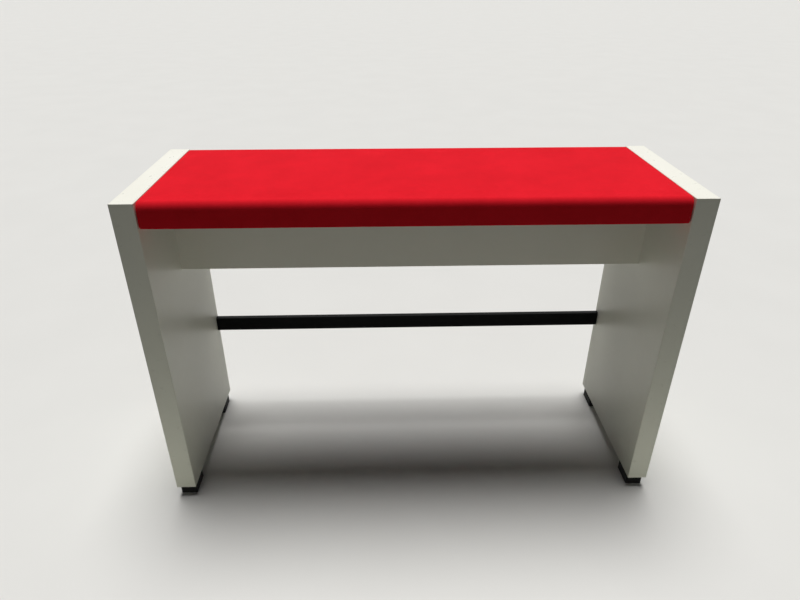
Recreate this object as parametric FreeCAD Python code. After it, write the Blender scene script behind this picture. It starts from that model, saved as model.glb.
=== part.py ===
import FreeCAD, Part
import math
import os

# Bar-height bench. Two thick white end panels stand on black block feet and carry an upholstered seat.
# A white beam at mid-depth under the seat and a black footrest tube near the rear hold the panels together.
# Millimetres. The origin is on the floor under the middle of the bench.
# X runs along the bench's width, Y from its front to its rear, Z up.

Vector = FreeCAD.Vector
ALONG_X = Vector(1, 0, 0)
ALONG_Y = Vector(0, 1, 0)
ALONG_Z = Vector(0, 0, 1)
SIDES = {"left": -1, "right": 1}
ENDS = {"front": -1, "rear": 1}

# Overall sizes
bench_width = 1200.0
bench_depth = 400.0
panel_height = 752.0

# End panels: three chipboard layers glued together and edged on all four sides
face_board_thickness = 16.0
core_board_thickness = 16.0
band_thickness = 2.0
band_edge_round = 1.5

# Feet
foot_height = 32.0
foot_width = 40.0
foot_length = 60.0
foot_end_inset = 12.0
foot_corner_round = 3.0
foot_bore_depth = 20.0
foot_screw_length = 40.0

# Centre beam
beam_thickness = 19.0
beam_height = 179.5

# Fittings that join the beam to the panels
dowel_diameter = 8.0
dowel_length = 30.0
dowel_panel_depth = 10.0
dowel_spacing = 110.0
cam_diameter = 15.0
cam_height = 13.0
cam_distance = 34.0
cam_cap_overlap = 1.5
cam_cap_thickness = 1.2
bolt_diameter = 6.0
bolt_panel_depth = 11.0
bolt_head_diameter = 7.6
bolt_head_length = 3.0

# Footrest tube
tube_height = 40.0
tube_depth = 15.0
tube_wall = 1.5
tube_corner_round = 2.0
tube_rear_inset = 5.0
tube_underside_height = 230.0
tube_seat_depth = 9.5

# Seat
seat_underside_drop = 53.5
seat_setback = 1.0
seat_side_gap = 1.5
seat_board_thickness = 15.0
seat_board_inset = 12.0
foam_edge_thickness = 51.5
foam_crown = 2.5
foam_end_crown = 1.0
crown_run = 180.0
foam_top_round = 16.0
foam_low_round = 4.0
foam_end_round = 10.0
foam_draw_in = 1.5
cover_thickness = 1.5
hem_width = 22.0

# Angle brackets that hold the seat down
bracket_width = 24.0
bracket_thickness = 2.5
bracket_bend_round = 2.0
bracket_seat_leg = 45.0
bracket_wall_leg = 30.0
bracket_seat_hole = 32.0
bracket_wall_hole = 19.0
bracket_from_middle = 95.0

# Wood screws
screw_diameter = 4.5
screw_head_diameter = 8.5
screw_head_height = 2.8
bracket_screw_length = 14.0

# Clearances
fit_clearance = 0.15
cover_gap = 0.25
bore_end_clearance = 0.5

# Places worked out from the sizes
panel_thickness = 2 * face_board_thickness + core_board_thickness
panel_bottom = foot_height
panel_top = foot_height + panel_height
panel_middle_x = bench_width / 2 - panel_thickness / 2
clear_half = bench_width / 2 - panel_thickness
half_depth = bench_depth / 2
board_half_depth = half_depth - band_thickness
board_bottom = panel_bottom + band_thickness
board_top = panel_top - band_thickness
foot_y = half_depth - foot_end_inset - foot_length / 2
seat_underside = panel_top - seat_underside_drop
beam_bottom = seat_underside - beam_height
beam_middle = seat_underside - beam_height / 2
tube_rear = half_depth - tube_rear_inset
tube_middle_y = tube_rear - tube_depth / 2
tube_middle_z = panel_bottom + tube_underside_height + tube_height / 2
foam_half_length = clear_half - seat_side_gap - cover_thickness - cover_gap
foam_half_depth = half_depth - seat_setback - cover_thickness - cover_gap
foam_bottom = seat_underside + cover_thickness + cover_gap
foam_rim = foam_bottom + foam_edge_thickness
seat_board_half_length = foam_half_length - seat_board_inset
seat_board_half_depth = foam_half_depth - seat_board_inset
seat_board_top = foam_bottom + seat_board_thickness
hem_half_length = foam_half_length - hem_width
hem_half_depth = foam_half_depth - hem_width
screw_hole_radius = screw_diameter / 2 + fit_clearance


def box_between(low, high):
    size = high - low
    return Part.makeBox(size.x, size.y, size.z, low)


def rod(start, direction, radius, length):
    return Part.makeCylinder(radius, length, start, direction)


def closed_face(edges):
    return Part.Face(Part.Wire(edges))


def rounded_rectangle(centre, across, up, width, height, corner):
    """Flat face with four round corners, in the plane of the two directions."""
    half_w = width / 2
    half_h = height / 2
    bulge = corner * (1 - math.sqrt(0.5))

    def point(u, v):
        return centre + across * u + up * v

    edges = []
    for sign_u, sign_v in ((1, 1), (-1, 1), (-1, -1), (1, -1)):
        on_side = point(sign_u * half_w, sign_v * (half_h - corner))
        middle = point(sign_u * (half_w - bulge), sign_v * (half_h - bulge))
        on_cap = point(sign_u * (half_w - corner), sign_v * half_h)
        ends = (on_side, on_cap) if sign_u == sign_v else (on_cap, on_side)
        if edges:
            edges.append(Part.LineSegment(last, ends[0]).toShape())
        else:
            first = ends[0]
        edges.append(Part.Arc(ends[0], middle, ends[1]).toShape())
        last = ends[1]
    edges.append(Part.LineSegment(last, first).toShape())
    return closed_face(edges)


def edge_band(base, across, outward, along, width, length):
    """Strip glued on at its base, with both long outer edges rounded."""
    half = width / 2
    flat = half - band_edge_round
    shoulder = band_thickness - band_edge_round
    bulge = band_edge_round * (1 - math.sqrt(0.5))

    def point(u, v):
        return base + across * u + outward * v

    right_arc = Part.Arc(
        point(half, shoulder),
        point(half - bulge, band_thickness - bulge),
        point(flat, band_thickness),
    )
    left_arc = Part.Arc(
        point(-flat, band_thickness),
        point(-half + bulge, band_thickness - bulge),
        point(-half, shoulder),
    )
    edges = [
        Part.LineSegment(point(-half, 0), point(half, 0)).toShape(),
        Part.LineSegment(point(half, 0), point(half, shoulder)).toShape(),
        right_arc.toShape(),
        Part.LineSegment(point(flat, band_thickness), point(-flat, band_thickness)).toShape(),
        left_arc.toShape(),
        Part.LineSegment(point(-half, shoulder), point(-half, 0)).toShape(),
    ]
    return closed_face(edges).extrude(along * length)


def turned(outline, start, direction):
    """Turn an outline of (radius, distance) points about the direction that leads away from the start."""
    points = [Vector(radius, 0, distance) for radius, distance in outline]
    wire = Part.makePolygon(points + [points[0]])
    solid = Part.Face(wire).revolve(Vector(0, 0, 0), ALONG_Z, 360)
    solid.Placement = FreeCAD.Placement(start, FreeCAD.Rotation(ALONG_Z, direction))
    return solid


def stepped_pin(head_radius, head_length, shank_radius, shank_length, seat, direction):
    """Headed pin: the head's inner face lies on the seat point and the shank runs along the direction."""
    outline = [
        (0, -head_length),
        (head_radius, -head_length),
        (head_radius, 0),
        (shank_radius, 0),
        (shank_radius, shank_length),
        (0, shank_length),
    ]
    return turned(outline, seat, direction)


def wood_screw(seat, direction, length):
    return stepped_pin(
        screw_head_diameter / 2, screw_head_height, screw_diameter / 2, length, seat, direction
    )


def screw_hole(seat, direction, length):
    """Hole for a screw through whatever lies beyond the seat of its head."""
    return rod(seat, direction, screw_hole_radius, length + bore_end_clearance)


def cut_all(solid, holes):
    return solid.cut(holes)


def beam_end(side):
    """Middle of the face where the beam meets a panel."""
    return Vector(side * clear_half, 0, beam_middle)


def dowel_places(side):
    return [beam_end(side) + ALONG_Z * (step * dowel_spacing / 2) for step in (-1, 1)]


def cam_mouth(side):
    """Centre of a cam's bore where it opens in the rear face of the beam."""
    return beam_end(side) + Vector(-side * cam_distance, beam_thickness / 2, 0)


def bracket_corner(side, end):
    """Inner corner between panel and seat, at the middle of a bracket's width."""
    return Vector(side * clear_half, end * bracket_from_middle, seat_underside)


def wall_screw_seat(side, end):
    return bracket_corner(side, end) + Vector(-side * bracket_thickness, 0, -bracket_wall_hole)


def seat_screw_seat(side, end):
    return bracket_corner(side, end) + Vector(-side * bracket_seat_hole, 0, -bracket_thickness)


def wall_screw_hole(side, end):
    return screw_hole(wall_screw_seat(side, end), ALONG_X * side, bracket_screw_length)


def seat_screw_holes():
    holes = []
    for side in SIDES.values():
        for end in ENDS.values():
            holes.append(screw_hole(seat_screw_seat(side, end), ALONG_Z, bracket_screw_length))
    return holes


def bracket(side, end):
    """Bent steel angle with one hole in each leg."""
    corner = bracket_corner(side, end) - ALONG_Y * (bracket_width / 2)
    outer = bracket_bend_round + bracket_thickness
    outer_bulge = outer * (1 - math.sqrt(0.5))
    inner_bulge = bracket_thickness + bracket_bend_round * (1 - math.sqrt(0.5))

    def point(from_wall, below_seat):
        return corner + Vector(-side * from_wall, 0, -below_seat)

    inside = bracket_thickness
    corners = [
        point(outer, 0),
        point(bracket_seat_leg, 0),
        point(bracket_seat_leg, inside),
        point(outer, inside),
        point(inside, outer),
        point(inside, bracket_wall_leg),
        point(0, bracket_wall_leg),
        point(0, outer),
    ]
    inner_bend = Part.Arc(corners[3], point(inner_bulge, inner_bulge), corners[4])
    outer_bend = Part.Arc(corners[7], point(outer_bulge, outer_bulge), corners[0])
    edges = [
        Part.LineSegment(corners[0], corners[1]).toShape(),
        Part.LineSegment(corners[1], corners[2]).toShape(),
        Part.LineSegment(corners[2], corners[3]).toShape(),
        inner_bend.toShape(),
        Part.LineSegment(corners[4], corners[5]).toShape(),
        Part.LineSegment(corners[5], corners[6]).toShape(),
        Part.LineSegment(corners[6], corners[7]).toShape(),
        outer_bend.toShape(),
    ]
    solid = closed_face(edges).extrude(ALONG_Y * bracket_width)
    return cut_all(solid, [wall_screw_hole(side, end)] + seat_screw_holes())


def foot_screw_seat(side, end):
    """Where the screw's head rests at the end of the bore in a foot."""
    return Vector(side * panel_middle_x, end * foot_y, foot_bore_depth)


def foot_screw_hole(side, end):
    return screw_hole(foot_screw_seat(side, end), ALONG_Z, foot_screw_length)


def foot(side, end):
    """Moulded block with round corners and a bore for its screw."""
    base = Vector(side * panel_middle_x, end * foot_y, 0)
    block = rounded_rectangle(base, ALONG_X, ALONG_Y, foot_width, foot_length, foot_corner_round)
    solid = block.extrude(ALONG_Z * foot_height)
    bore = rod(base, ALONG_Z, screw_head_diameter / 2 + fit_clearance, foot_bore_depth)
    return solid.cut(bore).cut(foot_screw_hole(side, end))


def panel_board(side, inner_x, thickness):
    """One full layer of a panel, from its inner face outwards."""
    outer_x = inner_x + thickness
    low = Vector(min(side * inner_x, side * outer_x), -board_half_depth, board_bottom)
    high = Vector(max(side * inner_x, side * outer_x), board_half_depth, board_top)
    return box_between(low, high)


def tube_outline(x, growth):
    centre = Vector(x, tube_middle_y, tube_middle_z)
    depth = tube_depth + 2 * growth
    height = tube_height + 2 * growth
    return rounded_rectangle(centre, ALONG_Y, ALONG_Z, depth, height, tube_corner_round + growth)


def inner_board(side):
    """Layer that faces the sitter's legs, with the sockets for the footrest and the beam's fittings."""
    outward = ALONG_X * side
    pocket = tube_outline(side * clear_half, fit_clearance)
    holes = [pocket.extrude(outward * (tube_seat_depth + bore_end_clearance))]
    bolt_depth = bolt_panel_depth + bore_end_clearance
    holes.append(rod(beam_end(side), outward, bolt_diameter / 2 + fit_clearance, bolt_depth))
    for place in dowel_places(side):
        dowel_depth = dowel_panel_depth + bore_end_clearance
        holes.append(rod(place, outward, dowel_diameter / 2 + fit_clearance, dowel_depth))
    for end in ENDS.values():
        holes.append(wall_screw_hole(side, end))
    return cut_all(panel_board(side, clear_half, face_board_thickness), holes)


def core_board(side):
    solid = panel_board(side, clear_half + face_board_thickness, core_board_thickness)
    return cut_all(solid, [foot_screw_hole(side, end) for end in ENDS.values()])


def outer_board(side):
    inner_x = clear_half + face_board_thickness + core_board_thickness
    return panel_board(side, inner_x, face_board_thickness)


def panel_bands(side):
    """Front and rear bands run the full height; top and bottom bands lie between them."""
    bands = {}
    x = side * panel_middle_x
    for end_name, end in ENDS.items():
        base = Vector(x, end * board_half_depth, panel_bottom)
        bands[end_name] = edge_band(base, ALONG_X, ALONG_Y * end, ALONG_Z, panel_thickness, panel_height)
    length = 2 * board_half_depth
    top = Vector(x, -board_half_depth, board_top)
    bands["top"] = edge_band(top, ALONG_X, ALONG_Z, ALONG_Y, panel_thickness, length)
    bottom = Vector(x, -board_half_depth, board_bottom)
    lower = edge_band(bottom, ALONG_X, -ALONG_Z, ALONG_Y, panel_thickness, length)
    bands["bottom"] = cut_all(lower, [foot_screw_hole(side, end) for end in ENDS.values()])
    return bands


def centre_beam():
    low = Vector(-clear_half, -beam_thickness / 2, beam_bottom + band_thickness)
    high = Vector(clear_half, beam_thickness / 2, seat_underside)
    holes = []
    for side in SIDES.values():
        inward = ALONG_X * -side
        holes.append(rod(beam_end(side), inward, bolt_head_diameter / 2 + fit_clearance, cam_distance))
        holes.append(rod(cam_mouth(side), -ALONG_Y, cam_diameter / 2, cam_height + bore_end_clearance))
        for place in dowel_places(side):
            dowel_depth = dowel_length - dowel_panel_depth + bore_end_clearance
            holes.append(rod(place, inward, dowel_diameter / 2 + fit_clearance, dowel_depth))
    return cut_all(box_between(low, high), holes)


def beam_edge_band():
    base = Vector(-clear_half, 0, beam_bottom + band_thickness)
    return edge_band(base, ALONG_Y, -ALONG_Z, ALONG_X, beam_thickness, 2 * clear_half)


def dowel(place, side):
    tip = place + ALONG_X * (side * dowel_panel_depth)
    return rod(tip, ALONG_X * -side, dowel_diameter / 2, dowel_length)


def cam_bolt(side):
    """Screwed into the panel; its head ends inside the cam."""
    head_seat = beam_end(side) - ALONG_X * (side * (cam_distance - bolt_head_length))
    shank_length = bolt_panel_depth + cam_distance - bolt_head_length
    return stepped_pin(
        bolt_head_diameter / 2, bolt_head_length, bolt_diameter / 2, shank_length, head_seat, ALONG_X * side
    )


def cam_disc(side):
    """Eccentric disc with a channel that takes the bolt's head."""
    disc = rod(cam_mouth(side), -ALONG_Y, cam_diameter / 2 - fit_clearance, cam_height)
    channel_end = beam_end(side) - ALONG_X * (side * (cam_distance + fit_clearance))
    channel = rod(channel_end, ALONG_X * side, bolt_head_diameter / 2 + fit_clearance, cam_diameter)
    return disc.cut(channel)


def cam_cap(side):
    return rod(cam_mouth(side), ALONG_Y, cam_diameter / 2 + cam_cap_overlap, cam_cap_thickness)


def footrest_tube():
    half_length = clear_half + tube_seat_depth
    solid = tube_outline(-half_length, 0).extrude(ALONG_X * (2 * half_length))
    bore_round = max(tube_corner_round - tube_wall, fit_clearance)  # a thick wall still leaves a small round
    centre = Vector(-half_length, tube_middle_y, tube_middle_z)
    bore_depth = tube_depth - 2 * tube_wall
    bore_height = tube_height - 2 * tube_wall
    bore = rounded_rectangle(centre, ALONG_Y, ALONG_Z, bore_depth, bore_height, bore_round)
    return solid.cut(bore.extrude(ALONG_X * (2 * half_length)))


def pad_section(x, half, low, rim, crown, growth):
    """Cross-section of the pad: rolled lower and upper edges under a shallow crown."""
    top_round = foam_top_round + growth
    low_round = foam_low_round + growth
    top_bulge = top_round * (1 - math.sqrt(0.5))
    low_bulge = low_round * (1 - math.sqrt(0.5))

    def point(y, z):
        return Vector(x, y, z)

    front_low = Part.Arc(
        point(-half + low_round, low),
        point(-half + low_bulge, low + low_bulge),
        point(-half, low + low_round),
    )
    front_top = Part.Arc(
        point(-half, rim - top_round),
        point(-half + top_bulge, rim - top_bulge),
        point(-half + top_round, rim),
    )
    crown_top = Part.Arc(point(-half + top_round, rim), point(0, rim + crown), point(half - top_round, rim))
    rear_top = Part.Arc(
        point(half - top_round, rim),
        point(half - top_bulge, rim - top_bulge),
        point(half, rim - top_round),
    )
    rear_low = Part.Arc(
        point(half, low + low_round),
        point(half - low_bulge, low + low_bulge),
        point(half - low_round, low),
    )
    edges = [
        front_low.toShape(),
        Part.LineSegment(front_low.EndPoint, front_top.StartPoint).toShape(),
        front_top.toShape(),
        crown_top.toShape(),
        rear_top.toShape(),
        Part.LineSegment(rear_top.EndPoint, rear_low.StartPoint).toShape(),
        rear_low.toShape(),
        Part.LineSegment(rear_low.EndPoint, front_low.StartPoint).toShape(),
    ]
    return Part.Wire(edges)


def pad_form(growth):
    """Pad grown evenly on all sides: crowned along both axes, drawn in at the middle, rolled at its ends."""
    half_length = foam_half_length + growth
    half = foam_half_depth + growth
    low = foam_bottom - growth
    rim = foam_rim + growth
    end_round = foam_end_round + growth
    straight = half_length - end_round
    level = straight - crown_run
    middle = [
        pad_section(-straight, half, low, rim, foam_end_crown, growth),
        pad_section(-level, half - foam_draw_in, low, rim, foam_crown, growth),
        pad_section(level, half - foam_draw_in, low, rim, foam_crown, growth),
        pad_section(straight, half, low, rim, foam_end_crown, growth),
    ]
    form = Part.makeLoft(middle, True, True)
    for side in SIDES.values():
        roll = []
        for degrees in (0, 45, 90):
            turn = math.radians(degrees)
            x = side * (straight + end_round * math.cos(turn))
            inset = end_round * (1 - math.sin(turn))
            roll.append(pad_section(x, half - inset, low + inset, rim - inset, foam_end_crown, growth))
        form = form.fuse(Part.makeLoft(roll, True, True))
    return form


def seat_plate(half_length, half_width, low, high):
    """Flat rectangular layer of the seat, centred over the bench."""
    return box_between(Vector(-half_length, -half_width, low), Vector(half_length, half_width, high))


def seat_board():
    board = seat_plate(seat_board_half_length, seat_board_half_depth, foam_bottom, seat_board_top)
    return cut_all(board, seat_screw_holes())


def seat_foam():
    """Foam that wraps the edges of the board, which is let into its underside."""
    half_length = seat_board_half_length + cover_gap
    half_width = seat_board_half_depth + cover_gap
    return pad_form(0).cut(seat_plate(half_length, half_width, foam_bottom, seat_board_top))


def seat_cover():
    """Fabric skin over foam and board, turned under to a hem along all four edges."""
    skin = pad_form(cover_gap + cover_thickness).cut(pad_form(cover_gap))
    window = seat_plate(hem_half_length, hem_half_depth, seat_underside, foam_bottom)
    return cut_all(skin, [window] + seat_screw_holes())


def seat_liner():
    """Black cloth that fills the field inside the hem."""
    half_length = hem_half_length - cover_gap
    half_width = hem_half_depth - cover_gap
    liner = seat_plate(half_length, half_width, seat_underside, foam_bottom)
    return cut_all(liner, seat_screw_holes())


def write(name, shape):
    solids = shape if isinstance(shape, list) else shape.Solids
    whole = solids[0] if len(solids) == 1 else Part.makeCompound(solids)
    whole.exportStep("parts/" + name + ".step")
    print(name, len(solids), "solids", round(sum(solid.Volume for solid in solids) / 1000, 2), "cm3")


os.makedirs("parts", exist_ok=True)

groups = {}
for side_name, side in SIDES.items():
    write(side_name + "_inner_board", inner_board(side))
    write(side_name + "_core_board", core_board(side))
    write(side_name + "_outer_board", outer_board(side))
    for band_name, band in panel_bands(side).items():
        write(side_name + "_" + band_name + "_edge_band", band)
    groups.setdefault("beam_dowels", []).extend(dowel(place, side) for place in dowel_places(side))
    groups.setdefault("beam_cam_bolts", []).append(cam_bolt(side))
    groups.setdefault("beam_cam_discs", []).append(cam_disc(side))
    groups.setdefault("beam_cam_caps", []).append(cam_cap(side))
    for end_name, end in ENDS.items():
        write(end_name + "_" + side_name + "_foot", foot(side, end))
        write(end_name + "_" + side_name + "_seat_bracket", bracket(side, end))
        foot_screw = wood_screw(foot_screw_seat(side, end), ALONG_Z, foot_screw_length)
        wall_screw = wood_screw(wall_screw_seat(side, end), ALONG_X * side, bracket_screw_length)
        seat_screw = wood_screw(seat_screw_seat(side, end), ALONG_Z, bracket_screw_length)
        groups.setdefault("foot_screws", []).append(foot_screw)
        groups.setdefault("bracket_wall_screws", []).append(wall_screw)
        groups.setdefault("bracket_seat_screws", []).append(seat_screw)
for group_name, solids in groups.items():
    write(group_name, solids)

write("centre_beam", centre_beam())
write("beam_edge_band", beam_edge_band())
write("footrest_tube", footrest_tube())
write("seat_board", seat_board())
write("seat_foam", seat_foam())
write("seat_cover", seat_cover())
write("seat_liner", seat_liner())
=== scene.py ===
import bpy
import math
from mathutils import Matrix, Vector, noise


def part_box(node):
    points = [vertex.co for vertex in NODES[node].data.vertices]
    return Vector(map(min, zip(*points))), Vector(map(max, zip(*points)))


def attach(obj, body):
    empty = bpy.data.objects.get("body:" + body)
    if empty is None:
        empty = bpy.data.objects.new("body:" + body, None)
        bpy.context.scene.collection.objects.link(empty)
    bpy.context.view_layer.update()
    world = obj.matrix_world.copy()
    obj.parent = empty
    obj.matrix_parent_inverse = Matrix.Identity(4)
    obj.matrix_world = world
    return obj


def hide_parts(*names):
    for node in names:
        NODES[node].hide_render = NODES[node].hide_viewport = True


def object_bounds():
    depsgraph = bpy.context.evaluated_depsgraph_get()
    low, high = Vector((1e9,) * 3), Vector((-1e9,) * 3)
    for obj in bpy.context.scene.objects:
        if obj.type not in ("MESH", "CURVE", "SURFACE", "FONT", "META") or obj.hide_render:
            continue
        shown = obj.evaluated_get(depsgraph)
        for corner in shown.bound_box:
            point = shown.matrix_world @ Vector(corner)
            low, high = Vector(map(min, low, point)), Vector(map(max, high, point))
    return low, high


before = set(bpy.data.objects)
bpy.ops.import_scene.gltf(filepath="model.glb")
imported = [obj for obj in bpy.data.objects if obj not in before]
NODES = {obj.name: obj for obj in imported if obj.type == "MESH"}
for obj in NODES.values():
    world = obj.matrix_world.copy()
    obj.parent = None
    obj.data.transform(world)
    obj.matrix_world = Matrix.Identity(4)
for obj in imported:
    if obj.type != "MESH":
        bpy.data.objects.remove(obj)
cad_low, cad_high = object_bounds()

# Bar-height bench: white end panels on black feet, a red upholstered seat, a white beam, a black footrest.
# Metres, in the frame of the solids: X along the width, Y from front to rear, Z up, the floor at zero.

MILLIMETRE = 0.001
UP = Vector((0.0, 0.0, 1.0))
SIDES = ("left", "right")
ENDS = ("front", "rear")
PANEL_EDGES = ("front", "rear", "top", "bottom")


def colour(red, green, blue):
    """A linear colour, with full opacity."""
    return (red, green, blue, 1.0)


# Camera: a plain pinhole fitted to the corners of the two end panels, with angles in degrees
IMAGE_WIDTH = 800
FOCAL_LENGTH_PIXELS = 603.3
SENSOR_WIDTH = 36.0
CAMERA_PLACE = Vector((-0.0668, -1.3213, 1.1864))
CAMERA_PITCH_DOWN = 28.99
CAMERA_YAW_RIGHT = 1.61
RIGHT_ANGLE = 90.0

# Light, with angles in degrees
SUN_ENERGY = 3.25
SUN_SPREAD = 30.0
SUN_LEAN_FROM_REAR = 9.0
SUN_TINT = (1.0, 0.99, 0.965)
SKY_STRENGTH = 0.03
SKY_TINT = colour(0.97, 0.99, 1.0)
BACKDROP_TINT = colour(0.93, 0.93, 0.92)

# Floor, and the ring round the bench's plan from which it throws light back
FLOOR_HALF_SIZE = 40.0
FLOOR_DEEP = colour(0.70, 0.70, 0.69)
FLOOR_PALE = colour(0.74, 0.74, 0.73)
RING_FULL_FROM = 40 * MILLIMETRE
RING_FULL_TO = 300 * MILLIMETRE
RING_END = 850 * MILLIMETRE
RING_TINT = colour(0.74, 0.757, 0.665)
# Painted shade: the floor's bounce colour under the bench's plan and beyond the ring
OFF_RING_PAINTED_SHADE = colour(0.06, 0.061, 0.055)

# Cushion: its mesh and its rolled edges
PAD_CELL = 8 * MILLIMETRE
PAD_ROLL_STEPS = 5
PAD_END_ROUND = 4.5 * MILLIMETRE
PAD_LONG_ROUND = 15 * MILLIMETRE
PAD_TOP_ROUND = 19 * MILLIMETRE
PAD_LOW_ROUND = 4 * MILLIMETRE
CELL_CORNERS = ((0, 0), (1, 0), (1, 1), (0, 1))

# Cushion: how far it departs from a rolled box, and the power by which each departure fades
PAD_PROUD = 1.2 * MILLIMETRE
PAD_CROWN = 2.5 * MILLIMETRE
PAD_CROWN_FADE = 6
PAD_DRAW_IN = 0.6 * MILLIMETRE
PAD_END_BULGE = 1.1 * MILLIMETRE
PAD_END_BULGE_FADE = 9
PAD_END_BULGE_RISE_FADE = 6
PAD_EDGE_SAG = 1.0 * MILLIMETRE
PAD_EDGE_SAG_FADE = 24
HEM_RECESS = 2.2 * MILLIMETRE
HEM_LEVEL = 1.0 * MILLIMETRE

# Cushion: the cloth simulation
PAD_SWELL = 1.0 * MILLIMETRE
PAD_PRESSURE = 4.0
PAD_FRAMES = 20
PAD_PINNED_HEIGHT = 6 * MILLIMETRE
PAD_SLACK_RISE = 16 * MILLIMETRE

# Liner under the seat
LINER_CELL = 15 * MILLIMETRE
LINER_THICKNESS = 0.5 * MILLIMETRE
LINER_DROP = 2 * LINER_THICKNESS
LINER_SAG = 0.6 * MILLIMETRE
LINER_TAUT_CELLS = 2
LINER_WAVES_PER_METRE = 9

# Staples that hold the liner and the hem to the seat board
STAPLE_CROWN = 10 * MILLIMETRE
STAPLE_SPACING = 48 * MILLIMETRE
STAPLE_INSET = 6 * MILLIMETRE
STAPLE_DROP = 3 * LINER_THICKNESS
STAPLE_WIRE_RADIUS = 0.35 * MILLIMETRE
STAPLE_SHOULDER = 0.6 * MILLIMETRE
STAPLE_SHOULDER_EASE = STAPLE_SHOULDER / 4
STAPLE_SIDES = 6
STAPLE_CLEARANCE = 9 * MILLIMETRE

# Cloudy patterns: the range that most of a noise texture lies in
NOISE_LOW = 0.3
NOISE_HIGH = 0.7

# White boards and their edging
WHITE_DEEP = colour(0.805, 0.800, 0.722)
WHITE_PALE = colour(0.840, 0.834, 0.760)
HAND_GREY = colour(0.56, 0.54, 0.47)
HANDLED_WIDTH = 6 * MILLIMETRE
SCUFF_GREY = colour(0.40, 0.39, 0.36)
SCUFF_FULL_HEIGHT = 30 * MILLIMETRE
SCUFF_END_HEIGHT = 220 * MILLIMETRE
BOARD_ROUGHNESS = (0.31, 0.43)
EDGING_ROUGHNESS = (0.26, 0.38)
# Edging: a lighter copy of the board's white, partly its own tone and partly a painted highlight along the
# band edges
EDGING_TONE_AND_HIGHLIGHT = 1.04

# Red felted cloth
RED_DEEP = colour(0.780, 0.0097, 0.0220)
RED_BRIGHT = colour(0.910, 0.0132, 0.0290)
RED_FIBRE = colour(0.640, 0.0060, 0.0140)
RED_TUFT = colour(0.690, 0.0070, 0.0160)
# Painted shade: the red darkened in the hollows of the weave
RED_WEAVE_HOLLOW_SHADE = colour(0.520, 0.0050, 0.0115)
RED_FLECK = colour(0.86, 0.050, 0.070)
RED_SHEEN = colour(1.0, 0.10, 0.13)
THREAD_PITCH = 1.1 * MILLIMETRE

# Black pieces
COAT_DEEP = colour(0.0026, 0.0030, 0.0030)
COAT_PALE = colour(0.0050, 0.0054, 0.0055)
COAT_RUBBED = colour(0.010, 0.010, 0.0105)
RUBBED_DEPTH = 2 * MILLIMETRE
FOOT_BLACK = colour(0.004, 0.004, 0.004)
FOOT_DUST = colour(0.030, 0.029, 0.027)
DUST_HEIGHT = 20 * MILLIMETRE
LINER_DEEP = colour(0.008, 0.008, 0.009)
LINER_PALE = colour(0.024, 0.024, 0.026)
LINER_BETWEEN_DOTS = colour(0.004, 0.004, 0.004)

# Metal, wood and plastic inside the bench and under its seat
ZINC_PLATE_DEEP = colour(0.52, 0.52, 0.54)
ZINC_PLATE_PALE = colour(0.66, 0.66, 0.67)
ZINC_PLATE_ROUGHNESS = (0.28, 0.44)
ZINC_CAST_DEEP = colour(0.44, 0.44, 0.46)
ZINC_CAST_PALE = colour(0.56, 0.56, 0.58)
ZINC_CAST_ROUGHNESS = (0.42, 0.58)
BEECH_PALE = colour(0.62, 0.42, 0.24)
BEECH_DEEP = colour(0.48, 0.30, 0.15)
BEECH_STRETCH = (0.1, 1.0, 1.0)
BEECH_GRAIN_PER_METRE = 400.0
PLYWOOD_PALE = colour(0.60, 0.43, 0.24)
PLYWOOD_DEEP = colour(0.47, 0.31, 0.16)
PLYWOOD_STRETCH = (0.08, 1.0, 1.0)
PLYWOOD_GRAIN_PER_METRE = 90.0
WOOD_PORE = colour(0.16, 0.09, 0.04)
WOOD_PORE_FINENESS = 6
CHIP_DEEP = colour(0.34, 0.22, 0.11)
CHIP_PALE = colour(0.60, 0.45, 0.26)
CAP_DEEP = colour(0.80, 0.80, 0.78)
CAP_PALE = colour(0.85, 0.85, 0.83)


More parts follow.
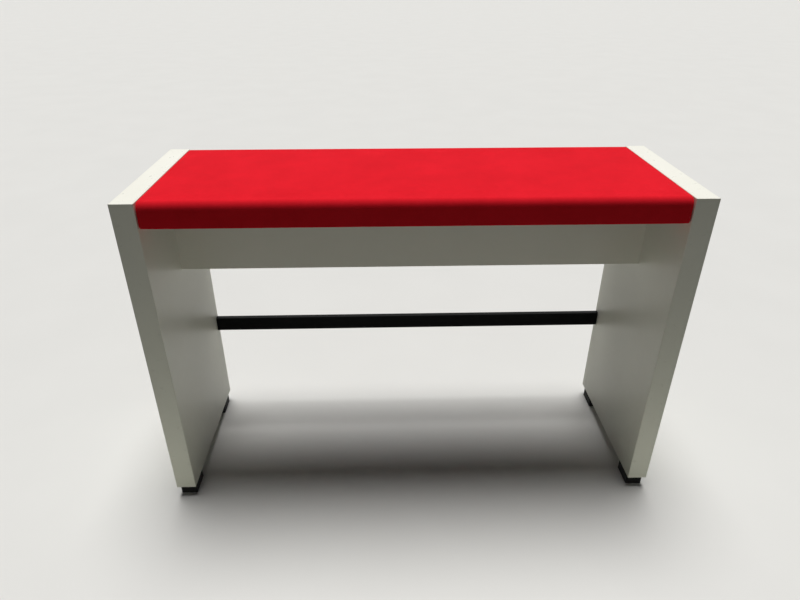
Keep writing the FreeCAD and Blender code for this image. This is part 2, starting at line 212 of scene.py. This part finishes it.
class Finish:
    """Node tree of one procedural material, with short calls for the nodes that the finishes share."""

    def __init__(self, name):
        self.material = bpy.data.materials.new(name)
        self.material.use_nodes = True
        self.tree = self.material.node_tree
        self.surface = self.tree.nodes["Principled BSDF"]
        self.place = self.tree.nodes.new("ShaderNodeTexCoord").outputs["Object"]

    def feed(self, socket, value):
        """Link a socket to another, or set it to a fixed value."""
        if isinstance(value, bpy.types.NodeSocket):
            self.tree.links.new(value, socket)
        else:
            socket.default_value = value

    def node(self, kind, inputs, **settings):
        """Add a node with its settings, and feed its inputs."""
        made = self.tree.nodes.new("ShaderNode" + kind)
        for key, value in settings.items():
            setattr(made, key, value)
        for key, value in inputs.items():
            self.feed(made.inputs[key], value)
        return made

    def set(self, **sockets):
        """Feed sockets of the surface, whose names have _ in place of spaces."""
        for key, value in sockets.items():
            self.feed(self.surface.inputs[key.replace("_", " ")], value)

    def math(self, operation, first, second=0.0):
        return self.node("Math", {0: first, 1: second}, operation=operation).outputs[0]

    def product(self, first, second):
        return self.math("MULTIPLY", first, second)

    def vector(self, operation, first, second=(0.0, 0.0, 0.0)):
        return self.node("VectorMath", {0: first, 1: second}, operation=operation).outputs[0]

    def axes(self, vector):
        return self.node("SeparateXYZ", {0: vector}).outputs

    def height(self):
        return self.axes(self.place)[2]

    def noise(self, per_metre, detail=2.0, roughness=0.5, stretch=None):
        """Cloudy pattern."""
        place = self.vector("MULTIPLY", self.place, stretch) if stretch else self.place
        inputs = {"Vector": place, "Scale": per_metre, "Detail": detail, "Roughness": roughness}
        return self.node("TexNoise", inputs).outputs[0]

    def cells(self, per_metre):
        """Scattered cells: the distance from their middles, and a colour of its own for each."""
        return self.node("TexVoronoi", {"Vector": self.place, "Scale": per_metre}).outputs

    def spread(self, value, low, high, to_low, to_high):
        """Carry a value from one range to another, and hold it at the ends."""
        inputs = {0: value, 1: low, 2: high, 3: to_low, 4: to_high}
        return self.node("MapRange", inputs, clamp=True).outputs[0]

    def rising(self, value, low=NOISE_LOW, high=NOISE_HIGH):
        """Nothing below the low value, one above the high value."""
        return self.spread(value, low, high, 0.0, 1.0)

    def falling(self, value, low, high):
        """One below the low value, nothing above the high value."""
        return self.spread(value, low, high, 1.0, 0.0)

    def mixed(self, share, first, second):
        return self.node("Mix", {0: share, 6: first, 7: second}, data_type="RGBA").outputs[2]

    def tinted(self, base, tint, where, strength):
        """Lay a tint over a base colour where a pattern says."""
        return self.mixed(self.product(where, strength), base, tint)

    def roughen(self, pattern, low, high):
        """Let the surface's roughness follow a cloudy pattern."""
        self.set(Roughness=self.spread(pattern, NOISE_LOW, NOISE_HIGH, low, high))

    def bump(self, pattern, depth, strength, over=None):
        """Relief, over another relief if one is given."""
        inputs = {"Height": pattern, "Distance": depth, "Strength": strength}
        if over:
            inputs["Normal"] = over
        return self.node("Bump", inputs).outputs[0]

    def edge_nearness(self, low, high, width):
        """One at the edges of a box, falling to nothing at the given width from them."""
        from_middle = self.vector("ABSOLUTE", self.vector("SUBTRACT", self.place, (low + high) / 2))
        x, y, z = self.axes(self.vector("SUBTRACT", (high - low) / 2, from_middle))
        nearer = self.math("MINIMUM", x, y)
        further = self.math("MAXIMUM", x, y)
        to_edge = self.math("MAXIMUM", nearer, self.math("MINIMUM", further, z))
        return self.falling(to_edge, 0.0, width)


def lit(tint, light):
    return colour(*[part * light for part in tint[:3]])


def white_finish(name, low, high, roughness, light=1.0):
    """Satin white board, cloudy by a shade and pearled.

    It is greyed a little by hands along the edges of the box from low to high, and by shoes low down.
    """
    finish = Finish(name)
    clouds = finish.rising(finish.noise(per_metre=5.0, detail=4.0, roughness=0.6))
    # A light above one makes a lighter copy of the white: for the edging, partly its own tone and partly a
    # painted highlight
    base = finish.mixed(clouds, lit(WHITE_DEEP, light), lit(WHITE_PALE, light))
    touches = finish.noise(per_metre=45.0, detail=3.0, roughness=0.65)
    handled = finish.product(finish.edge_nearness(low, high, HANDLED_WIDTH), touches)
    base = finish.tinted(base, HAND_GREY, handled, strength=0.16)
    strokes = finish.noise(per_metre=26.0, detail=5.0, roughness=0.7, stretch=(1.0, 1.0, 0.18))
    low_down = finish.falling(finish.height(), SCUFF_FULL_HEIGHT, SCUFF_END_HEIGHT)
    scuffed = finish.product(low_down, finish.rising(strokes, low=0.60, high=0.72))
    base = finish.tinted(base, SCUFF_GREY, scuffed, strength=0.16)
    finish.set(Base_Color=base, Specular_IOR_Level=0.45)
    finish.roughen(finish.noise(per_metre=60.0, detail=3.0, roughness=0.6), *roughness)
    pearl = finish.bump(finish.noise(per_metre=900.0), depth=0.03 * MILLIMETRE, strength=0.6)
    waves = finish.noise(per_metre=7.0, detail=1.0)
    finish.set(Normal=finish.bump(waves, depth=0.25 * MILLIMETRE, strength=0.5, over=pearl))
    return finish.material


def red_cloth():
    """Felted wool: a dense nap over a fine weave, brushed lighter and darker in broad patches."""
    finish = Finish("red_felt_cloth")
    x, y, z = finish.axes(finish.place)
    turn = 2 * math.pi / THREAD_PITCH
    warp = finish.math("SINE", finish.product(x, turn))
    weft = finish.math("SINE", finish.product(finish.math("ADD", y, z), turn))
    weave = finish.product(warp, weft)
    patches = finish.noise(per_metre=11.0, detail=6.0, roughness=0.68)
    fibres = finish.noise(per_metre=700.0, detail=4.0, roughness=0.7)
    tufts = finish.noise(per_metre=130.0, detail=3.0, roughness=0.65)
    flecks = finish.noise(per_metre=1500.0, roughness=0.6)
    base = finish.mixed(finish.rising(patches, low=0.34, high=0.66), RED_DEEP, RED_BRIGHT)
    base = finish.tinted(base, RED_FIBRE, finish.rising(fibres), strength=0.40)
    base = finish.tinted(base, RED_TUFT, finish.rising(tufts), strength=0.30)
    # Painted shade: darker where the weave's relief is low, in its hollows
    base = finish.tinted(base, RED_WEAVE_HOLLOW_SHADE, finish.falling(weave, -1.0, 1.0), strength=0.22)
    base = finish.tinted(base, RED_FLECK, finish.rising(flecks, low=0.66, high=0.78), strength=0.30)
    finish.set(Base_Color=base, Specular_IOR_Level=0.10)
    finish.set(Sheen_Weight=0.25, Sheen_Roughness=0.30, Sheen_Tint=RED_SHEEN)
    finish.roughen(fibres, 0.82, 0.95)
    threads = finish.bump(weave, depth=0.06 * MILLIMETRE, strength=0.35)
    nap = finish.noise(per_metre=420.0, detail=5.0, roughness=0.75)
    napped = finish.bump(nap, depth=0.35 * MILLIMETRE, strength=0.55, over=threads)
    waves = finish.noise(per_metre=30.0, detail=3.0)
    finish.set(Normal=finish.bump(waves, depth=0.6 * MILLIMETRE, strength=0.35, over=napped))
    return finish.material


def black_paint():
    """Powder coat on the footrest: satin, with a fine orange peel, rubbed by shoes along the top."""
    finish = Finish("satin_black_powder_coat")
    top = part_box("footrest_tube")[1].z
    base = finish.mixed(finish.noise(per_metre=40.0, detail=3.0), COAT_DEEP, COAT_PALE)
    strokes = finish.noise(per_metre=14.0, detail=4.0, roughness=0.65, stretch=(1.0, 4.0, 4.0))
    on_top = finish.rising(finish.height(), low=top - RUBBED_DEPTH, high=top)
    rubbed = finish.product(on_top, finish.rising(strokes, low=0.45, high=0.75))
    base = finish.tinted(base, COAT_RUBBED, rubbed, strength=0.6)
    finish.set(Base_Color=base, Specular_IOR_Level=0.07)
    peel = finish.noise(per_metre=320.0)
    finish.roughen(peel, 0.42, 0.54)
    finish.set(Normal=finish.bump(peel, depth=0.06 * MILLIMETRE, strength=0.5))
    return finish.material


def black_plastic():
    """Moulded feet: matt, finely textured, dusty by a shade near the floor."""
    finish = Finish("matt_black_plastic")
    clouds = finish.noise(per_metre=120.0, detail=4.0, roughness=0.7)
    dusty = finish.product(finish.falling(finish.height(), 0.0, DUST_HEIGHT), clouds)
    base = finish.tinted(FOOT_BLACK, FOOT_DUST, dusty, strength=0.5)
    finish.set(Base_Color=base, Specular_IOR_Level=0.15)
    grain = finish.noise(per_metre=1400.0, roughness=0.6)
    finish.roughen(grain, 0.58, 0.72)
    finish.set(Normal=finish.bump(grain, depth=0.08 * MILLIMETRE, strength=0.6))
    return finish.material


def metal(name, deep, pale, roughness):
    """Plated or cast metal with faint crystal patches and small scratches."""
    finish = Finish(name)
    crystals = finish.axes(finish.cells(per_metre=260.0)["Color"])[0]
    finish.set(Base_Color=finish.mixed(crystals, deep, pale), Metallic=1.0)
    scratches = finish.noise(per_metre=300.0, detail=4.0, roughness=0.7, stretch=(1.0, 6.0, 1.0))
    finish.roughen(scratches, *roughness)
    finish.set(Normal=finish.bump(scratches, depth=0.02 * MILLIMETRE, strength=0.4))
    return finish.material


def wood(name, pale, deep, stretch, grain_per_metre):
    """Bare wood: long grain along one axis with darker pores."""
    finish = Finish(name)
    grain = finish.noise(grain_per_metre, detail=5.0, roughness=0.62, stretch=stretch)
    pores = finish.noise(grain_per_metre * WOOD_PORE_FINENESS, stretch=stretch)
    base = finish.mixed(finish.rising(grain), pale, deep)
    base = finish.tinted(base, WOOD_PORE, finish.rising(pores, low=0.58, high=0.70), strength=0.5)
    finish.set(Base_Color=base)
    finish.roughen(grain, 0.55, 0.75)
    finish.set(Normal=finish.bump(grain, depth=0.1 * MILLIMETRE, strength=0.5))
    return finish.material


def chipboard():
    """Raw particle board: flat chips of several browns."""
    finish = Finish("raw_chipboard")
    chips = finish.cells(per_metre=520.0)
    shade = finish.axes(chips["Color"])[0]
    finish.set(Base_Color=finish.mixed(shade, CHIP_DEEP, CHIP_PALE))
    finish.set(Roughness=finish.spread(shade, 0.0, 1.0, to_low=0.75, to_high=0.9))
    finish.set(Normal=finish.bump(chips["Distance"], depth=0.2 * MILLIMETRE, strength=0.6))
    return finish.material


def white_plastic():
    """Cover caps: smooth moulded plastic, cloudy by a shade."""
    finish = Finish("white_moulded_plastic")
    clouds = finish.noise(per_metre=90.0)
    finish.set(Base_Color=finish.mixed(clouds, CAP_DEEP, CAP_PALE))
    finish.roughen(clouds, 0.33, 0.42)
    grain = finish.noise(per_metre=1200.0)
    finish.set(Normal=finish.bump(grain, depth=0.03 * MILLIMETRE, strength=0.5))
    return finish.material


def liner_cloth():
    """Black spun-bonded cloth with small bonded dots, darker and raised between them."""
    finish = Finish("black_liner_cloth")
    strands = finish.noise(per_metre=800.0, detail=4.0, roughness=0.7)
    between = finish.rising(finish.cells(per_metre=650.0)["Distance"], low=0.25, high=0.40)
    base = finish.mixed(strands, LINER_DEEP, LINER_PALE)
    finish.set(Base_Color=finish.tinted(base, LINER_BETWEEN_DOTS, between, strength=0.4))
    finish.roughen(strands, 0.72, 0.9)
    finish.set(Normal=finish.bump(between, depth=0.1 * MILLIMETRE, strength=0.5))
    return finish.material


def dress(node, material):
    """Give a solid its finish."""
    for slot in NODES[node].material_slots:
        slot.material = material


def add_object(name, data):
    """Put a mesh, a lamp or a camera into the scene."""
    made = bpy.data.objects.new(name, data)
    bpy.context.scene.collection.objects.link(made)
    return made


def mesh_object(name, vertices, faces, material, smooth=True):
    mesh = bpy.data.meshes.new(name)
    mesh.from_pydata(vertices, [], faces)
    mesh.update()
    mesh.materials.append(material)
    if smooth:
        mesh.shade_smooth()
    return add_object(name, mesh)


def clamped(value, low, high):
    return max(low, min(high, value))


def grid_lines(low, high, low_round, high_round, stops=()):
    """Places along one axis, evenly turned over a rolled edge and evenly spaced between.

    There is a line at each stop.
    """
    eighth_turn = math.pi / 4
    turns = [math.tan(eighth_turn * step / PAD_ROLL_STEPS) for step in range(PAD_ROLL_STEPS, 0, -1)]
    lines = [low + low_round * (1 - turn) for turn in turns]
    marks = [low + low_round, *sorted(stops), high - high_round]
    for start, end in zip(marks, marks[1:]):
        count = max(1, round((end - start) / PAD_CELL))
        lines += [start + (end - start) * step / count for step in range(count)]
    lines.append(high - high_round)
    lines += [high - high_round * (1 - turn) for turn in reversed(turns)]
    return lines


def rolled(point, low, high):
    """Move a point of a box's surface onto the pad.

    The long edges are rolled, wide at the top and narrow at the hem. A small roll then goes round each end.
    """
    at_hem = point.z < low.z + PAD_LOW_ROUND
    width = PAD_LOW_ROUND if at_hem else PAD_LONG_ROUND
    rise = PAD_LOW_ROUND if at_hem else PAD_TOP_ROUND
    core = Vector((
        clamped(point.x, low.x + PAD_END_ROUND, high.x - PAD_END_ROUND),
        clamped(point.y, low.y + width, high.y - width),
        clamped(point.z, low.z + PAD_LOW_ROUND, high.z - PAD_TOP_ROUND),
    ))
    turned = Vector((0.0, (point.y - core.y) / width, (point.z - core.z) / rise))
    share = max(abs(turned.y), abs(turned.z))
    if share == 0.0:
        return Vector((point.x, core.y, core.z))
    turned.normalize()
    rim = Vector((0.0, turned.y * width, turned.z * rise))
    depth = (1 - share) * rim.length
    near_rim = clamped(1 - depth / PAD_END_ROUND, 0.0, 1.0)
    if near_rim == 0.0:
        return Vector((point.x, core.y, core.z)) + rim * share
    outward = Vector((0.0, turned.y / width, turned.z / rise)).normalized()
    beyond = (point.x - core.x) / PAD_END_ROUND
    end_turn = Vector((beyond, near_rim)).normalized()
    inset = outward * PAD_END_ROUND * (1 - end_turn.y)
    return core + rim - inset + Vector((PAD_END_ROUND * end_turn.x, 0.0, 0.0))


def pad_surface(low, high, hem_low, hem_high):
    """Vertices and faces of a rolled box, with grid lines on both sides of the hem's inner edge."""
    step = HEM_RECESS / 2
    stops_x = [hem_low.x - step, hem_low.x + step, hem_high.x - step, hem_high.x + step]
    stops_y = [hem_low.y - step, hem_low.y + step, hem_high.y - step, hem_high.y + step]
    lines = (
        grid_lines(low.x, high.x, PAD_END_ROUND, PAD_END_ROUND, stops_x),
        grid_lines(low.y, high.y, PAD_LONG_ROUND, PAD_LONG_ROUND, stops_y),
        grid_lines(low.z, high.z, PAD_LOW_ROUND, PAD_TOP_ROUND),
    )
    last = [len(axis) - 1 for axis in lines]
    places = {}
    vertices = []

    def vertex(index):
        if index not in places:
            point = Vector([axis[number] for axis, number in zip(lines, index)])
            places[index] = len(vertices)
            vertices.append(rolled(point, low, high))
        return places[index]

    faces = []
    for fixed in range(3):
        across, along = [axis for axis in range(3) if axis != fixed]
        for end in (0, last[fixed]):
            outward = (end > 0) == (fixed != 1)
            for row in range(last[across]):
                for column in range(last[along]):
                    corners = []
                    for row_step, column_step in CELL_CORNERS:
                        index = [end, end, end]
                        index[across] = row + row_step
                        index[along] = column + column_step
                        corners.append(vertex(tuple(index)))
                    faces.append(corners if outward else corners[::-1])
    return vertices, faces


def shape_pad(vertices, low, high, hem_low, hem_high):
    """Crown the top, draw the long sides in, round the ends out and let the long lower edges sag a little.

    The underside is lifted inside the hem.
    """
    middle = (low + high) / 2
    half = (high - low) / 2
    shaped = []
    for point in vertices:
        along = (point.x - middle.x) / half.x
        across = (point.y - middle.y) / half.y
        upright = (point.z - middle.z) / half.z
        raised = clamped(upright, 0.0, 1.0)
        lowered = clamped(-upright, 0.0, 1.0)
        crown = PAD_CROWN * raised * (1 - across ** 2) * (1 - along ** PAD_CROWN_FADE)
        drawn = PAD_DRAW_IN * across * (1 - along ** 2)
        bulge = PAD_END_BULGE * along ** PAD_END_BULGE_FADE * (1 - upright ** PAD_END_BULGE_RISE_FADE)
        at_long_edge = across ** PAD_EDGE_SAG_FADE * (1 - along ** PAD_EDGE_SAG_FADE)
        sag = PAD_EDGE_SAG * lowered * at_long_edge
        inside = hem_low.x < point.x < hem_high.x and hem_low.y < point.y < hem_high.y
        lift = HEM_RECESS if inside and point.z < low.z + HEM_LEVEL else 0.0
        shaped.append(point + Vector((bulge, -drawn, crown + lift - sag)))
    return shaped


def swell(pad, low):
    """Slacken the pad, blow it up as cloth held at its hem, and let it out as far as a small cap.

    The foam inside lets no point of the cloth move inwards.
    """
    outward = [vertex.normal.copy() for vertex in pad.data.vertices]
    for vertex, normal in zip(pad.data.vertices, outward):
        free = clamped((vertex.co.z - low.z - PAD_PINNED_HEIGHT) / PAD_SLACK_RISE, 0.0, 1.0)
        vertex.co -= normal * PAD_SWELL * free
    pinned = pad.vertex_groups.new(name="pinned")
    held = [vertex.index for vertex in pad.data.vertices if vertex.co.z < low.z + PAD_PINNED_HEIGHT]
    pinned.add(held, 1.0, "REPLACE")
    cloth = pad.modifiers.new("swell", "CLOTH")
    cloth.settings.vertex_group_mass = pinned.name
    cloth.settings.use_pressure = True
    cloth.settings.uniform_pressure_force = PAD_PRESSURE
    cloth.settings.effector_weights.gravity = 0.0
    cloth.collision_settings.use_collision = False
    cloth.collision_settings.use_self_collision = False
    cloth.point_cache.frame_start = 1
    cloth.point_cache.frame_end = PAD_FRAMES
    scene = bpy.context.scene
    for number in range(1, PAD_FRAMES + 1):
        scene.frame_set(number)
    blown = pad.evaluated_get(bpy.context.evaluated_depsgraph_get()).to_mesh()
    places = [vertex.co.copy() for vertex in blown.vertices]
    pad.modifiers.remove(cloth)
    pad.vertex_groups.remove(pinned)
    scene.frame_set(1)
    for vertex, place, normal in zip(pad.data.vertices, places, outward):
        move = max(0.0, (place - vertex.co).dot(normal))
        vertex.co += normal * PAD_SWELL * math.tanh(move / PAD_SWELL)
    pad.data.update()


def cushion():
    """The upholstered seat: foam and board wrapped in one taut red cloth, hemmed under."""
    low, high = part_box("seat_cover")
    hem_low, hem_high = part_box("seat_liner")
    rim = high + UP * (PAD_PROUD - PAD_CROWN)
    vertices, faces = pad_surface(low, rim, hem_low, hem_high)
    vertices = shape_pad(vertices, low, rim, hem_low, hem_high)
    pad = mesh_object("seat_cushion", vertices, faces, red_cloth())
    swell(pad, low)
    smooth = pad.modifiers.new("smooth", "SUBSURF")
    smooth.levels = 1
    smooth.render_levels = 1
    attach(pad, "root")
    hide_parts("seat_foam", "seat_cover")


def liner():
    """Black cloth under the seat, stretched inside the hem and slack by a hair between its fixings."""
    low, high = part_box("seat_liner")
    columns = round((high.x - low.x) / LINER_CELL)
    rows = round((high.y - low.y) / LINER_CELL)
    vertices = []
    for column in range(columns + 1):
        for row in range(rows + 1):
            x = low.x + (high.x - low.x) * column / columns
            y = low.y + (high.y - low.y) * row / rows
            wave = noise.noise(Vector((x, y, 0.0)) * LINER_WAVES_PER_METRE)
            from_edge = min(column, columns - column, row, rows - row)
            slack = min(1.0, from_edge / LINER_TAUT_CELLS) * (1 + wave) / 2
            vertices.append(Vector((x, y, high.z - LINER_DROP - LINER_SAG * slack)))
    faces = []
    stride = rows + 1
    for column in range(columns):
        for row in range(rows):
            first = column * stride + row
            faces.append((first, first + stride, first + stride + 1, first + 1))
    sheet = mesh_object("seat_liner_cloth", vertices, faces, liner_cloth())
    thick = sheet.modifiers.new("thickness", "SOLIDIFY")
    thick.thickness = LINER_THICKNESS
    thick.offset = 0.0
    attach(sheet, "root")
    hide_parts("seat_liner")


def staple_wire(centre, along, vertices, faces):
    """Add one staple: its crown lies flat and its shoulders turn up into the liner."""
    side = along.cross(UP)
    half = STAPLE_CROWN / 2
    bend = STAPLE_SHOULDER
    ease = STAPLE_SHOULDER_EASE
    path = ((-half, bend), (-half + ease, ease), (-half + bend, 0.0))
    path += tuple((-reach, rise) for reach, rise in reversed(path))
    first = len(vertices)
    for reach, rise in path:
        lean = along * (-math.copysign(rise / bend, reach))
        across = (UP + lean).normalized()
        for number in range(STAPLE_SIDES):
            turn = 2 * math.pi * number / STAPLE_SIDES
            ring = across * math.cos(turn) + side * math.sin(turn)
            vertices.append(centre + along * reach + UP * rise + ring * STAPLE_WIRE_RADIUS)
    last = first + STAPLE_SIDES * (len(path) - 1)
    for low in range(first, last, STAPLE_SIDES):
        high = low + STAPLE_SIDES
        for number in range(STAPLE_SIDES):
            beside = (number + 1) % STAPLE_SIDES
            faces.append((low + number, low + beside, high + beside, high + number))
    faces.append(tuple(range(first + STAPLE_SIDES - 1, first - 1, -1)))
    faces.append(tuple(range(last, last + STAPLE_SIDES)))


def clear_of(point, boxes):
    """Whether a staple at this point stays clear of the boxes, seen from below."""
    for low, high in boxes:
        inside_x = low.x - STAPLE_CLEARANCE < point.x < high.x + STAPLE_CLEARANCE
        inside_y = low.y - STAPLE_CLEARANCE < point.y < high.y + STAPLE_CLEARANCE
        if inside_x and inside_y:
            return False
    return True


def staple_places(low, high):
    """Middles and directions of the staples round the liner, clear of the beam and the brackets."""
    middle = (low + high) / 2
    half = (high - low) / 2 - Vector((STAPLE_INSET, STAPLE_INSET, 0.0))
    found = []
    for axis in (0, 1):
        along = Vector((1.0 - axis, float(axis), 0.0))
        length = 2 * half[axis]
        count = round(length / STAPLE_SPACING)
        for sign in (-1, 1):
            for step in range(count):
                centre = Vector((middle.x, middle.y, high.z - STAPLE_DROP))
                centre[axis] += length * ((step + 0.5) / count - 0.5)
                centre[1 - axis] += sign * half[1 - axis]
                found.append((centre, along))
    kept_clear = [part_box("centre_beam")]
    kept_clear += [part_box("%s_%s_seat_bracket" % (end, side)) for end in ENDS for side in SIDES]
    return [(centre, along) for centre, along in found if clear_of(centre, kept_clear)]


def staples(zinc):
    """Wire staples round the liner's rim."""
    vertices = []
    faces = []
    for centre, along in staple_places(*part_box("seat_liner")):
        staple_wire(centre, along, vertices, faces)
    wires = mesh_object("liner_staples", vertices, faces, zinc)
    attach(wires, "root")


def dress_panels(zinc):
    """Finishes of the end panels, their feet and the brackets on them."""
    chips = chipboard()
    plastic = black_plastic()
    for side in SIDES:
        low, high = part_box(side + "_front_edge_band")
        rear_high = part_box(side + "_rear_edge_band")[1]
        panel_high = Vector((high.x, rear_high.y, high.z))
        board = white_finish(side + "_panel_melamine", low, panel_high, BOARD_ROUGHNESS)
        edging = white_finish(side + "_panel_edging", low, panel_high, EDGING_ROUGHNESS, EDGING_TONE_AND_HIGHLIGHT)
        dress(side + "_inner_board", board)
        dress(side + "_outer_board", board)
        dress(side + "_core_board", chips)
        for edge in PANEL_EDGES:
            dress("%s_%s_edge_band" % (side, edge), edging)
        for end in ENDS:
            dress("%s_%s_foot" % (end, side), plastic)
            dress("%s_%s_seat_bracket" % (end, side), zinc)


def dress_cross_pieces(zinc):
    """Finishes of the beam, the footrest, the seat board and the fasteners."""
    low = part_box("beam_edge_band")[0]
    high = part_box("centre_beam")[1]
    dress("centre_beam", white_finish("beam_melamine", low, high, BOARD_ROUGHNESS))
    dress("beam_edge_band", white_finish("beam_edging", low, high, EDGING_ROUGHNESS, EDGING_TONE_AND_HIGHLIGHT))
    dress("footrest_tube", black_paint())
    for group in ("beam_cam_bolts", "foot_screws", "bracket_wall_screws", "bracket_seat_screws"):
        dress(group, zinc)
    dress("beam_cam_discs", metal("cast_zinc", ZINC_CAST_DEEP, ZINC_CAST_PALE, ZINC_CAST_ROUGHNESS))
    dress("beam_cam_caps", white_plastic())
    beech = wood("beech", BEECH_PALE, BEECH_DEEP, BEECH_STRETCH, BEECH_GRAIN_PER_METRE)
    dress("beam_dowels", beech)
    plywood = wood("plywood", PLYWOOD_PALE, PLYWOOD_DEEP, PLYWOOD_STRETCH, PLYWOOD_GRAIN_PER_METRE)
    dress("seat_board", plywood)


def direct_sight(tree):
    """One for rays from the camera, from a reflection or through glass, and nothing for all others."""
    path = tree.nodes.new("ShaderNodeLightPath").outputs
    seen = path["Is Camera Ray"]
    for ray in ("Is Glossy Ray", "Is Transmission Ray"):
        either = tree.nodes.new("ShaderNodeMath")
        either.operation = "MAXIMUM"
        tree.links.new(seen, either.inputs[0])
        tree.links.new(path[ray], either.inputs[1])
        seen = either.outputs[0]
    return seen


def floor():
    """Plain floor that looks pale all over, and throws light on the bench from a ring round its plan.

    The plan is centred on the origin, so the high corner of the solids' box gives both of its half sizes.
    """
    finish = Finish("plain_floor")
    pale = finish.mixed(finish.noise(per_metre=3.0, detail=3.0), FLOOR_DEEP, FLOOR_PALE)
    beyond_plan = finish.vector("SUBTRACT", finish.vector("ABSOLUTE", finish.place), cad_high)
    outside = finish.vector("MAXIMUM", beyond_plan)
    reach = finish.node("VectorMath", {0: outside}, operation="LENGTH").outputs["Value"]
    # To rays other than camera, reflection and glass rays the floor is a painted pool of light on the ring,
    # and painted shade under the plan and beyond it
    on_ring = finish.product(
        finish.rising(reach, 0.0, RING_FULL_FROM),
        finish.falling(reach, RING_FULL_TO, RING_END),
    )
    bounce = finish.mixed(on_ring, OFF_RING_PAINTED_SHADE, RING_TINT)
    finish.set(Base_Color=finish.mixed(direct_sight(finish.tree), bounce, pale))
    finish.set(Roughness=0.85, Specular_IOR_Level=0.2)
    half = FLOOR_HALF_SIZE
    corners = [(-half, -half, 0.0), (half, -half, 0.0), (half, half, 0.0), (-half, half, 0.0)]
    ground = mesh_object("studio_floor", corners, [(0, 1, 2, 3)], finish.material, smooth=False)


def lighting():
    """One broad overhead light that leans from the rear, and a faint even sky that looks pale."""
    lamp = bpy.data.lights.new("overhead", "SUN")
    lamp.energy = SUN_ENERGY
    lamp.angle = math.radians(SUN_SPREAD)
    lamp.color = SUN_TINT
    sun = add_object("overhead", lamp)
    sun.rotation_euler = (math.radians(-SUN_LEAN_FROM_REAR), 0.0, 0.0)
    world = bpy.data.worlds.new("studio")
    world.use_nodes = True
    bpy.context.scene.world = world
    tree = world.node_tree
    sky = tree.nodes["Background"]
    sky.inputs["Color"].default_value = SKY_TINT
    sky.inputs["Strength"].default_value = SKY_STRENGTH
    backdrop = tree.nodes.new("ShaderNodeBackground")
    backdrop.inputs["Color"].default_value = BACKDROP_TINT
    choice = tree.nodes.new("ShaderNodeMixShader")
    tree.links.new(direct_sight(tree), choice.inputs[0])
    tree.links.new(sky.outputs[0], choice.inputs[1])
    tree.links.new(backdrop.outputs[0], choice.inputs[2])
    tree.links.new(choice.outputs[0], tree.nodes["World Output"].inputs["Surface"])


def camera():
    """The photo's viewing point, without roll."""
    lens = bpy.data.cameras.new("photo_view")
    lens.sensor_fit = "HORIZONTAL"
    lens.sensor_width = SENSOR_WIDTH
    lens.lens = FOCAL_LENGTH_PIXELS * SENSOR_WIDTH / IMAGE_WIDTH
    view = add_object("photo_view", lens)
    view.location = CAMERA_PLACE
    from_nadir = math.radians(RIGHT_ANGLE - CAMERA_PITCH_DOWN)
    view.rotation_euler = (from_nadir, 0.0, math.radians(-CAMERA_YAW_RIGHT))
    bpy.context.scene.camera = view


bpy.context.scene.view_settings.view_transform = "Standard"
zinc_plate = metal("bright_zinc_plate", ZINC_PLATE_DEEP, ZINC_PLATE_PALE, ZINC_PLATE_ROUGHNESS)
dress_panels(zinc_plate)
dress_cross_pieces(zinc_plate)
cushion()
liner()
staples(zinc_plate)
floor()
lighting()
camera()
